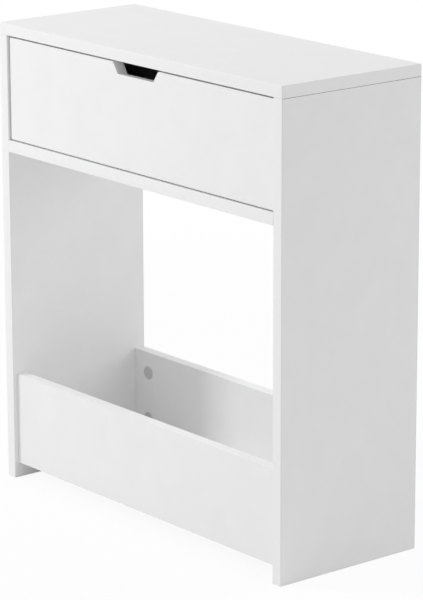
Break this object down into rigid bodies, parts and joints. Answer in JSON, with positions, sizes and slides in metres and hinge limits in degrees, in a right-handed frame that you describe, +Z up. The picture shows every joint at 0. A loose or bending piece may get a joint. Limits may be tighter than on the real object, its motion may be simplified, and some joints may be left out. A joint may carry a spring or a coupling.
{
  "type": "bathroom base cabinet",
  "caption": "Narrow white bathroom base cabinet: a notched drawer on ball runners under the top, an open bay through to the back, and a shallow tray at the foot.",
  "frame": {"origin": "on the floor, under the middle of the cabinet's width and depth", "axes": "+Z up, front and drawer towards -Y, +X to the right as seen from the front"},
  "size_m": [0.55, 0.215, 0.6],
  "materials": {
    "white_board": "white melamine-faced chipboard, satin",
    "drawer_board": "white foil-wrapped board, matt",
    "hardboard": "white lacquered hardboard, matt",
    "cast_zinc": "die-cast zinc, dull",
    "plated_steel": "zinc-plated, bright",
    "runner_steel": "zinc-plated sheet steel, satin",
    "ball_steel": "hardened steel, polished",
    "cage_plastic": "black moulded plastic, matt",
    "cap_plastic": "light grey moulded plastic, matt",
    "beech": "bare beech"
  },
  "bodies": {
    "cabinet": {"left_side_panel": "white_board", "right_side_panel": "white_board", "top_board": "white_board", "divider_board": "white_board", "bay_back_panel": "white_board", "tray_bottom": "white_board", "front_board": "white_board", "back_board": "white_board", "cam_locks": "cast_zinc", "cam_bolts": "plated_steel", "cam_caps": "cap_plastic", "wooden_dowels": "beech", "left_runner_channel": "runner_steel", "right_runner_channel": "runner_steel", "channel_screws": "plated_steel"},
    "drawer": {"drawer_front": "white_board", "drawer_left_side": "drawer_board", "drawer_right_side": "drawer_board", "drawer_back": "drawer_board", "drawer_bottom": "hardboard", "left_runner_slide": "runner_steel", "right_runner_slide": "runner_steel", "slide_screws": "plated_steel", "drawer_cam_locks": "cast_zinc", "drawer_cam_bolts": "plated_steel", "drawer_dowels": "beech", "drawer_back_screws": "plated_steel", "drawer_bottom_screws": "plated_steel"},
    "left_cage": {"left_ball_cage": "cage_plastic", "left_balls": "ball_steel"},
    "right_cage": {"right_ball_cage": "cage_plastic", "right_balls": "ball_steel"}
  },
  "joints": [
    {"name": "drawer_slide", "type": "slide", "parent": "cabinet", "child": "drawer", "axis": [0, -1, 0], "range_m": [0, 0.125]},
    {"name": "left_cage_slide", "type": "slide", "parent": "cabinet", "child": "left_cage", "axis": [0, -1, 0], "range_m": [0, 0.0625]},
    {"name": "right_cage_slide", "type": "slide", "parent": "cabinet", "child": "right_cage", "axis": [0, -1, 0], "range_m": [0, 0.0625]}
  ],
  "couplings": [
    {"joint": "left_cage_slide", "follows": "drawer_slide", "ratio": 0.5},
    {"joint": "right_cage_slide", "follows": "drawer_slide", "ratio": 0.5}
  ]
}
